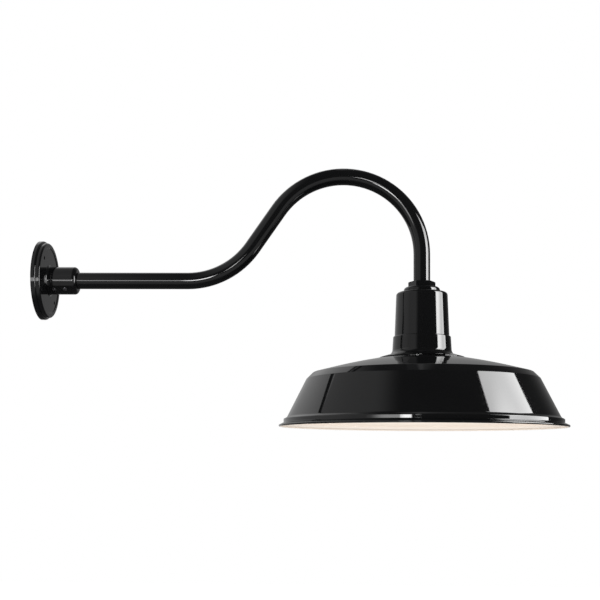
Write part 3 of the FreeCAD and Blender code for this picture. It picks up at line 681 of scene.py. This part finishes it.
GLOSS_BLACK = BlackEnamel("gloss_black_enamel")
CAST_BLACK = CastEnamel("cast_black_enamel")
ZINC = Metal("bright_zinc", (0.66, 0.68, 0.71), (0.46, 0.48, 0.52), 0.30)
NICKEL = Metal("nickel_plate", (0.74, 0.70, 0.62), (0.52, 0.48, 0.41), 0.18)
BRASS = Metal("brass", (0.83, 0.62, 0.30), (0.55, 0.38, 0.17), 0.24)
BLACK_OXIDE = Metal("black_oxide_steel", (0.30, 0.30, 0.31), (0.16, 0.16, 0.17), 0.34)
GREEN_STEEL = Metal("green_dyed_steel", (0.06, 0.30, 0.11), (0.03, 0.16, 0.06), 0.30)
SOLDER = Metal("solder_tin", (0.60, 0.60, 0.61), (0.36, 0.36, 0.38), 0.38)
PORCELAIN = GlazedPorcelain("glazed_porcelain")
BLACK_LEAD = Insulation("black_braid")
WHITE_LEAD = Insulation("white_braid", (0.74, 0.73, 0.70), (0.42, 0.41, 0.39))
OPAL = OpalGlass("opal_glass")
DARK_GLASS = BlackGlass("dark_glass")


# ---------------------------------------------------------------- making meshes


def dress(node: str, finish: Finish) -> None:
    """Gives a CAD node its finish.

    Args:
        node: Name of the node.
        finish: What it is covered with.
    """
    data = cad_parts[node].data
    data.materials.clear()
    data.materials.append(finish.material())


@dataclass
class Turning:
    """A sheet made by going round the lamp axis, with a section that may change on the way."""

    name: str
    finish: Finish
    body: Body
    centre: Point
    steps: int = 96

    def angles(self) -> List[float]:
        """The angle of each step round the axis, in radians."""
        return [2.0 * math.pi * step / self.steps for step in range(self.steps)]

    def skin(self, sections: Sequence[Sequence[ProfilePoint]]) -> bpy.types.Object:
        """Joins closed sections, one for each step round the axis, and puts the piece on its body.

        Args:
            sections: The (radius, height) points of each section, in metres.

        Returns:
            The finished object.
        """
        rows = [
            [(r * math.cos(angle), r * math.sin(angle), z) for r, z in section]
            for angle, section in zip(self.angles(), sections)
        ]
        mesh = bmesh.new()
        grid = [[mesh.verts.new(Vector(self.centre) + Vector(p)) for p in row] for row in rows]
        count = len(rows[0])
        around = len(grid)
        for i in range(around):
            for j in range(count):
                k = (j + 1) % count
                n = (i + 1) % around
                mesh.faces.new((grid[i][j], grid[n][j], grid[n][k], grid[i][k]))
        bmesh.ops.recalc_face_normals(mesh, faces=mesh.faces)
        data = bpy.data.meshes.new(self.name)
        mesh.to_mesh(data)
        mesh.free()
        data.shade_smooth()
        piece = bpy.data.objects.new(self.name, data)
        bpy.context.scene.collection.objects.link(piece)
        data.materials.append(self.finish.material())
        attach(piece, self.body.value)
        return piece

    def turn(self, section: Sequence[ProfilePoint]) -> bpy.types.Object:
        """Turns one closed section of (radius, height) all the way round.

        Args:
            section: The section's points in metres.

        Returns:
            The finished object.
        """
        return self.skin([section] * self.steps)


@dataclass
class RolledThread:
    """The rounded thread rolled into a thin shell or cap."""

    pitch: float = 3.63 * MM
    depth: float = 0.55 * MM
    run_out: float = 2.2 * MM

    def press(self, angle: float, height: float, low: float, high: float) -> float:
        """How deep the thread is pressed in at a point.

        Args:
            angle: Angle round the axis in radians.
            height: Height of the point.
            low: Where the thread ends below.
            high: Where it ends above.

        Returns:
            Metres inwards from the widest radius.
        """
        fade = min(1.0, (height - low) / self.run_out, (high - height) / self.run_out)
        wave = 0.5 - 0.5 * math.cos(2.0 * math.pi * height / self.pitch - angle)
        return self.depth * wave * max(0.0, fade)


@dataclass
class WallMount:
    """The cast plate on the wall with its screws."""

    def build(self) -> List[str]:
        """Dresses the plate and its screws.

        Returns:
            The names of what was finished.
        """
        dress("wall_plate", CAST_BLACK)
        dress("collar_set_screws", BLACK_OXIDE)
        dress("ground_screw", GREEN_STEEL)
        return ["wall_plate", "collar_set_screws", "ground_screw"]


@dataclass
class Arm:
    """The bent pipe and the leads inside it."""

    def build(self) -> List[str]:
        """Dresses the pipe and both leads.

        Returns:
            The names of what was finished.
        """
        dress("gooseneck_arm", GLOSS_BLACK)
        dress("live_lead", BLACK_LEAD)
        dress("neutral_lead", WHITE_LEAD)
        return ["gooseneck_arm", "live_lead", "neutral_lead"]


@dataclass
class Shade:
    """The spun shade: crown, knuckle, straight side, ledge, upright band, cove and rolled lip.

    Its sizes are in millimetres, and a point of the line is (radius, height, rounding).
    """

    axis: Point
    wall: float = 1.2
    steps: int = 288
    reach_limit: float = 0.49
    lip_centre: ProfilePoint = (226.9, -233.4)
    lip_radius: float = 1.7
    lip_degrees: Tuple[int, int] = (80, -185)
    lip_step: int = 15
    line: Tuple[Point, ...] = (
        (42.0, -119.71, 0.0), (51.0, -119.71, 2.0), (68.0, -124.91, 5.0), (122.0, -135.5, 900.0),
        (175.0, -149.3, 3.0), (185.0, -159.2, 3.0), (215.9, -220.8, 6.8), (220.9, -222.9, 1.5),
        (220.9, -228.7, 0.8), (226.9, -231.75, 0.0),
    )

    def filleted(self, parts: int = 10) -> List[ProfilePoint]:
        """Rounds the corners of the line as far as the runs between them allow.

        Args:
            parts: Runs that each arc is made of.

        Returns:
            The rounded line.
        """
        line = [Vector(self.line[0][:2])]
        for before, corner, after in zip(self.line, self.line[1:], self.line[2:]):
            here = Vector(corner[:2])
            back, ahead = Vector(before[:2]) - here, Vector(after[:2]) - here
            turn = back.angle(-ahead)
            longest = (self.reach_limit * back.length, self.reach_limit * ahead.length)
            reach = min(corner[2] * math.tan(turn / 2.0), *longest)
            first = here + back.normalized() * reach
            last = here + ahead.normalized() * reach
            for part in range(parts + 1):
                share = part / parts
                rest = 1.0 - share
                line.append(first * rest ** 2 + here * (2.0 * share * rest) + last * share ** 2)
        line.append(Vector(self.line[-1][:2]))
        return [(point.x, point.y) for point in line]

    def lining(self, outside: Sequence[ProfilePoint]) -> List[ProfilePoint]:
        """The inner side of the sheet, one wall inside the outer line.

        Args:
            outside: The outer line.

        Returns:
            The inner line in the same order.
        """
        inside = []
        last = len(outside) - 1
        for index, point in enumerate(outside):
            along = Vector(outside[min(index + 1, last)]) - Vector(outside[max(index - 1, 0)])
            inward = Vector((along.y, -along.x)).normalized() * self.wall
            inside.append((point[0] + inward.x, point[1] + inward.y))
        return inside

    def lip(self) -> List[ProfilePoint]:
        """The rolled lip from its top round the outside to its inner face."""
        roll = []
        start, end = self.lip_degrees
        for degrees in range(start, end - 1, -self.lip_step):
            angle = math.radians(degrees)
            roll.append((self.lip_centre[0] + self.lip_radius * math.cos(angle),
                         self.lip_centre[1] + self.lip_radius * math.sin(angle)))
        return roll

    def build(self, finish: Finish) -> bpy.types.Object:
        """Makes the shade.

        Args:
            finish: Its enamel.

        Returns:
            The piece that stands for the plain shade.
        """
        outside = self.filleted()
        section = outside + self.lip() + self.lining(outside)[::-1]
        centre = (self.axis[0], self.axis[1], 0.0)
        turning = Turning("spun_shade", finish, Body.ARM, centre, self.steps)
        piece = turning.turn([(radius * MM, height * MM) for radius, height in section])
        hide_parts("shade")
        return piece


@dataclass
class Head:
    """Hub, neck, fitter collar and shade."""

    axis: Point

    def build(self) -> List[str]:
        """Dresses the sheet metal and the nuts, and makes the shade.

        Returns:
            The names of what was finished.
        """
        for node in ("hex_lock_nut", "hub", "socket_neck", "fitter_collar"):
            dress(node, GLOSS_BLACK)
        enamel = ShadeEnamel("shade_enamel", axis=self.axis)
        dress("shade", enamel)
        dress("clamp_nut", ZINC)
        made = Shade(self.axis).build(enamel)
        return ["hex_lock_nut", "hub", "socket_neck", "fitter_collar", "clamp_nut", made.name]


@dataclass
class Holder:
    """The porcelain lampholder on its bracket, with the threaded shell."""

    axis: Point
    thread: RolledThread = field(default_factory=RolledThread)
    wall: float = 0.45 * MM
    rows: int = 120
    lip_share: float = 0.82
    plain_end: float = 0.8 * MM

    def shell(self) -> bpy.types.Object:
        """Makes the screw shell with its rolled thread.

        Returns:
            The piece that stands for the plain shell.
        """
        low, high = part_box("screw_shell")
        outer = (high[0] - low[0]) / 2.0
        bottom, top = low[2], high[2]
        lip = outer * self.lip_share
        turning = Turning("threaded_shell", NICKEL, Body.ARM, (self.axis[0], self.axis[1], 0.0))
        low_end, high_end = bottom + self.plain_end, top - self.plain_end
        sections = []
        for angle in turning.angles():
            outside, inside = [], []
            for j in range(self.rows + 1):
                height = bottom + (top - bottom) * j / self.rows
                radius = outer - self.thread.press(angle, height, low_end, high_end)
                outside.append((radius, height))
                inside.append((radius - self.wall, min(height, top - self.wall)))
            sections.append(outside + [(lip, top), (lip, top - self.wall)] + inside[::-1])
        piece = turning.skin(sections)
        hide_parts("screw_shell")
        return piece

    def build(self) -> List[str]:
        """Dresses the holder and makes its shell.

        Returns:
            The names of what was finished.
        """
        dress("socket_bracket", ZINC)
        dress("lampholder", PORCELAIN)
        dress("centre_contact", BRASS)
        dress("contact_rivet", BRASS)
        dress("bracket_screws", ZINC)
        dress("terminal_screws", BRASS)
        dress("screw_shell", NICKEL)
        made = self.shell()
        return ["socket_bracket", "lampholder", "centre_contact", "contact_rivet",
                "bracket_screws", "terminal_screws", made.name]


@dataclass
class Lamp:
    """The screw-in lamp."""

    axis: Point
    thread: RolledThread = field(default_factory=RolledThread)
    wall: float = 0.4 * MM
    rows: int = 110
    shoulder: float = 2.0 * MM
    plain_end: float = 5.0 * MM

    def cap(self) -> bpy.types.Object:
        """Makes the lamp's cap with its rolled thread.

        Returns:
            The piece that stands for the plain cap.
        """
        low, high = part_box("lamp_cap")
        outer = (high[0] - low[0]) / 2.0
        bottom, top = low[2], high[2]
        turning = Turning("threaded_cap", NICKEL, Body.LAMP, (self.axis[0], self.axis[1], 0.0))
        low_end, high_end = bottom + self.plain_end, top - self.shoulder
        sections = []
        for angle in turning.angles():
            outside, inside = [], []
            for j in range(self.rows + 1):
                height = bottom + (top - bottom) * j / self.rows
                below = max(0.0, self.shoulder - (top - height))
                round_in = self.shoulder - math.sqrt(max(0.0, self.shoulder ** 2 - below ** 2))
                radius = outer - round_in
                radius -= self.thread.press(angle, height, low_end, high_end)
                outside.append((radius, height))
                inside.append((radius - self.wall, min(height, top - self.wall)))
            sections.append(outside + inside[::-1])
        piece = turning.skin(sections)
        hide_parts("lamp_cap")
        return piece

    def build(self) -> List[str]:
        """Dresses the lamp and makes its cap.

        Returns:
            The names of what was finished.
        """
        dress("lamp_glass", OPAL)
        dress("lamp_insulator", DARK_GLASS)
        dress("lamp_contact", SOLDER)
        dress("lamp_cap", NICKEL)
        made = self.cap()
        return ["lamp_glass", "lamp_insulator", "lamp_contact", made.name]


# ---------------------------------------------------------------- studio


@dataclass(frozen=True)
class Softbox:
    """A flat light that only gloss shows, brightest near one point."""

    name: str
    corners: Tuple[Point, ...]
    radiance: float
    edge_radiance: float
    hot_spot: Point
    reach: Tuple[float, float]  # metres from the hot spot where the dimming starts and ends

    def glow(self, shader: Shader) -> Signal:
        """Brightest near the hot spot and evenly dimmer beyond it.

        Args:
            shader: The panel's shader.

        Returns:
            The light it gives.
        """
        distance = shader.vector("DISTANCE", shader.place(), self.hot_spot, "Value")
        share = self.edge_radiance / self.radiance
        colour = shader.mix(distance.step(*self.reach), grey(1.0), grey(share))
        sockets = {"Color": colour, "Strength": self.radiance}
        return shader.node("ShaderNodeEmission", None, sockets)["Emission"]

    def build(self) -> bpy.types.Object:
        """Makes the glowing panel.

        Returns:
            The panel.
        """
        data = bpy.data.meshes.new(self.name)
        data.from_pydata([Vector(c) for c in self.corners], [], [list(range(len(self.corners)))])
        material = bpy.data.materials.new(self.name)
        material.use_nodes = True
        shader = Shader(material.node_tree)
        shader.node("ShaderNodeOutputMaterial", None, {"Surface": self.glow(shader)})
        data.materials.append(material)
        panel = bpy.data.objects.new(self.name, data)
        panel.visible_camera = False
        panel.visible_shadow = False
        panel.visible_diffuse = False
        bpy.context.scene.collection.objects.link(panel)
        return panel


@dataclass(frozen=True)
class Surround:
    """What the black enamel mirrors: a white sweep on the left and behind, dark round the camera.

    Azimuths are in radians from straight towards the camera, rising to the right.
    """

    dark: float = 0.045
    left: float = 0.80
    left_fade: Tuple[float, float] = (0.35, 1.35)
    right: float = 0.18
    right_fade: Tuple[float, float] = (2.15, 2.95)
    behind: float = 0.33
    behind_fade: Tuple[float, float] = (2.85, 3.06)
    low_share: float = 0.62
    low_fade: Tuple[float, float] = (0.2, 0.5)
    top_loss: float = 0.92
    top_fade: Tuple[float, float] = (0.80, 0.96)

    def brightness(self, shader: Shader) -> Signal:
        """Builds the pattern.

        Args:
            shader: The world's shader.

        Returns:
            The brightness in each direction.
        """
        x, y, z = shader.parts(shader.node("ShaderNodeTexCoord")["Generated"])
        azimuth = x.angle(-y)
        left = (-azimuth).step(*self.left_fade) * self.left
        low = self.low_share + z.step(*self.low_fade) * (1.0 - self.low_share)
        height = low * (1.0 - z.step(*self.top_fade) * self.top_loss)
        behind = abs(azimuth).step(*self.behind_fade)
        right = azimuth.step(*self.right_fade) * self.right
        return self.dark + (left * height + right) * (1.0 - behind) + behind * self.behind


@dataclass
class Studio:
    """Pale floor, white surroundings and soft lights.

    The floor's tones are greys from 0 to 1, and its fade runs along Y in metres.
    """

    floor_height: float = -1.25
    floor_half: float = 6.0
    floor_tone: float = 0.92
    floor_glow: float = 1.08
    glow_seen: float = 0.9
    glow_lighting: float = 0.95
    mirrored_far: float = 0.42
    mirrored_near: float = 0.05
    mirrored_fade: Tuple[float, float] = (-1.50, -0.60)
    ambient: float = 1.0
    surround: Surround = Surround()
    boxes: Tuple[Softbox, ...] = (
        Softbox(
            name="right_box",
            corners=(
                (1.40, -0.490, -0.26), (1.40, 0.105, -0.26), (1.40, 0.125, -0.05),
                (1.40, 0.085, 0.20), (1.40, 0.100, 0.48), (1.40, -0.490, 0.78),
            ),
            radiance=17.0, edge_radiance=9.2, hot_spot=(1.40, -0.50, 0.17), reach=(0.15, 0.45),
        ),
        Softbox(
            name="left_panel",
            corners=(
                (-2.00, -1.63, -0.58), (0.41, -1.63, -0.58),
                (0.41, -1.63, 1.40), (-2.00, -1.63, 1.40),
            ),
            radiance=0.45, edge_radiance=0.05, hot_spot=(-20.0, -1.63, 0.20), reach=(19.50, 20.08),
        ),
        Softbox(
            name="upper_panel",
            corners=(
                (-2.00, -1.63, 1.40), (0.41, -1.63, 1.40), (0.41, 0.80, 1.40), (-2.00, 0.80, 1.40),
            ),
            radiance=0.45, edge_radiance=0.05, hot_spot=(-20.0, -0.30, 1.40), reach=(19.40, 20.10),
        ),
        Softbox(
            name="front_lamp",
            corners=(
                (0.00, -1.60, -0.30), (0.255, -1.60, -0.30),
                (0.255, -1.60, -0.02), (0.00, -1.60, -0.02),
            ),
            radiance=22.0, edge_radiance=15.0, hot_spot=(0.15, -1.60, -0.17), reach=(0.08, 0.16),
        ),
        Softbox(
            name="front_strip",
            corners=(
                (-1.10, -1.60, -0.30), (0.00, -1.60, -0.30),
                (0.00, -1.60, -0.02), (-1.10, -1.60, -0.02),
            ),
            radiance=5.0, edge_radiance=0.7, hot_spot=(-0.10, -1.60, -0.17), reach=(0.25, 0.90),
        ),
        Softbox(
            name="front_spot",
            corners=(
                (0.33, -1.60, -0.08), (0.45, -1.60, -0.08),
                (0.45, -1.60, 0.14), (0.33, -1.60, 0.14),
            ),
            radiance=14.0, edge_radiance=8.0, hot_spot=(0.37, -1.60, 0.0), reach=(0.03, 0.12),
        ),
    )

    def floor(self) -> bpy.types.Object:
        """Makes the floor: white to the camera, yet it keeps a soft shadow.

        Returns:
            The floor.
        """
        half = self.floor_half
        corners = [(-half, -half), (half, -half), (half, half), (-half, half)]
        points = [Vector((x, y, self.floor_height)) for x, y in corners]
        data = bpy.data.meshes.new("floor")
        data.from_pydata(points, [], [list(range(len(points)))])
        material = bpy.data.materials.new("pale_floor")
        material.use_nodes = True
        shader = Shader(material.node_tree)
        path = shader.node("ShaderNodeLightPath")
        seen = path["Is Camera Ray"].larger(path["Is Transmission Ray"])
        glossy = path["Is Glossy Ray"]
        near = shader.parts(shader.place())[1].step(*self.mirrored_fade)
        mirrored = shader.mix(near, grey(self.mirrored_far), grey(self.mirrored_near))
        tone = shader.mix(glossy, grey(self.floor_tone), mirrored)
        paper = shader.node("ShaderNodeBsdfDiffuse", None, {"Color": tone})["BSDF"]
        white = shader.node("ShaderNodeEmission", None, {"Strength": self.floor_glow})["Emission"]
        share = seen * self.glow_seen + (1.0 - seen) * (1.0 - glossy) * self.glow_lighting
        surface = shader.node("ShaderNodeMixShader", None, {0: share, 1: paper, 2: white})["Shader"]
        shader.node("ShaderNodeOutputMaterial", None, {"Surface": surface})
        data.materials.append(material)
        floor = bpy.data.objects.new("floor", data)
        bpy.context.scene.collection.objects.link(floor)
        return floor

    def surroundings(self) -> None:
        """Paints the world: white to the camera, even for soft light, a pattern for the enamel."""
        world = bpy.data.worlds.new("studio")
        world.use_nodes = True
        bpy.context.scene.world = world
        shader = Shader(world.node_tree)
        path = shader.node("ShaderNodeLightPath")
        glossy = path["Is Glossy Ray"]
        seen = path["Is Camera Ray"].larger(path["Is Transmission Ray"])
        soft = self.ambient * (1.0 - glossy) + self.surround.brightness(shader) * glossy
        sockets = {"Color": grey(1.0), "Strength": seen + (1.0 - seen) * soft}
        glow = shader.node("ShaderNodeBackground", None, sockets)["Background"]
        shader.node("ShaderNodeOutputWorld", None, {"Surface": glow})

    def build(self) -> List[str]:
        """Sets up the studio.

        Returns:
            The names of its pieces.
        """
        self.surroundings()
        names = [self.floor().name]
        names += [box.build().name for box in self.boxes]
        bpy.context.scene.view_settings.view_transform = "Standard"
        return names


@dataclass
class Viewpoint:
    """The camera where the photograph was taken from.

    Its centre and focal length are in pixels of the photograph, and its turns in radians.
    """

    place: Point = (0.467793, -1.595182, -0.283204)
    focal_pixels: float = 997.13
    centre: Tuple[float, float] = (299.84, 396.54)
    yaw: float = 0.0292
    pitch: float = 0.0604
    roll: float = -0.0062
    sensor: float = 36.0
    nearest: float = 0.05
    farthest: float = 50.0

    def build(self) -> List[str]:
        """Makes the camera.

        Returns:
            Its name.
        """
        data = bpy.data.cameras.new("camera")
        data.sensor_width = self.sensor
        data.lens = self.focal_pixels * self.sensor / PHOTO_PIXELS
        data.shift_x = (PHOTO_PIXELS / 2.0 - self.centre[0]) / PHOTO_PIXELS
        data.shift_y = (self.centre[1] - PHOTO_PIXELS / 2.0) / PHOTO_PIXELS
        data.clip_start = self.nearest
        data.clip_end = self.farthest
        camera = bpy.data.objects.new("camera", data)
        bpy.context.scene.collection.objects.link(camera)
        turn = Matrix.Rotation(-self.yaw, 3, "Z")
        tilt = Matrix.Rotation(-self.pitch, 3, "X")
        lean = Matrix.Rotation(-self.roll, 3, "Y")
        rows = lean @ tilt @ turn
        right, forward, up = rows[0], rows[1], rows[2]
        axes = Matrix((right, up, -forward)).transposed()
        camera.matrix_world = Matrix.Translation(self.place) @ axes.to_4x4()
        bpy.context.scene.camera = camera
        return [camera.name]


def main() -> None:
    """Builds the sconce, its studio and its camera, in order."""
    logging.basicConfig(level=logging.INFO, format="%(name)s: %(message)s")
    low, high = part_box("lamp_glass")
    axis = ((low[0] + high[0]) / 2.0, (low[1] + high[1]) / 2.0, 0.0)
    stages: List[Tuple[str, Callable[[], List[str]]]] = [
        ("camera", Viewpoint().build),
        ("wall mount", WallMount().build),
        ("arm", Arm().build),
        ("head", Head(axis).build),
        ("holder", Holder(axis).build),
        ("lamp", Lamp(axis).build),
        ("studio", Studio().build),
    ]
    for title, build in stages:
        for piece in build():
            log.info("%s: %s", title, piece)


if __name__ == "__main__":
    main()
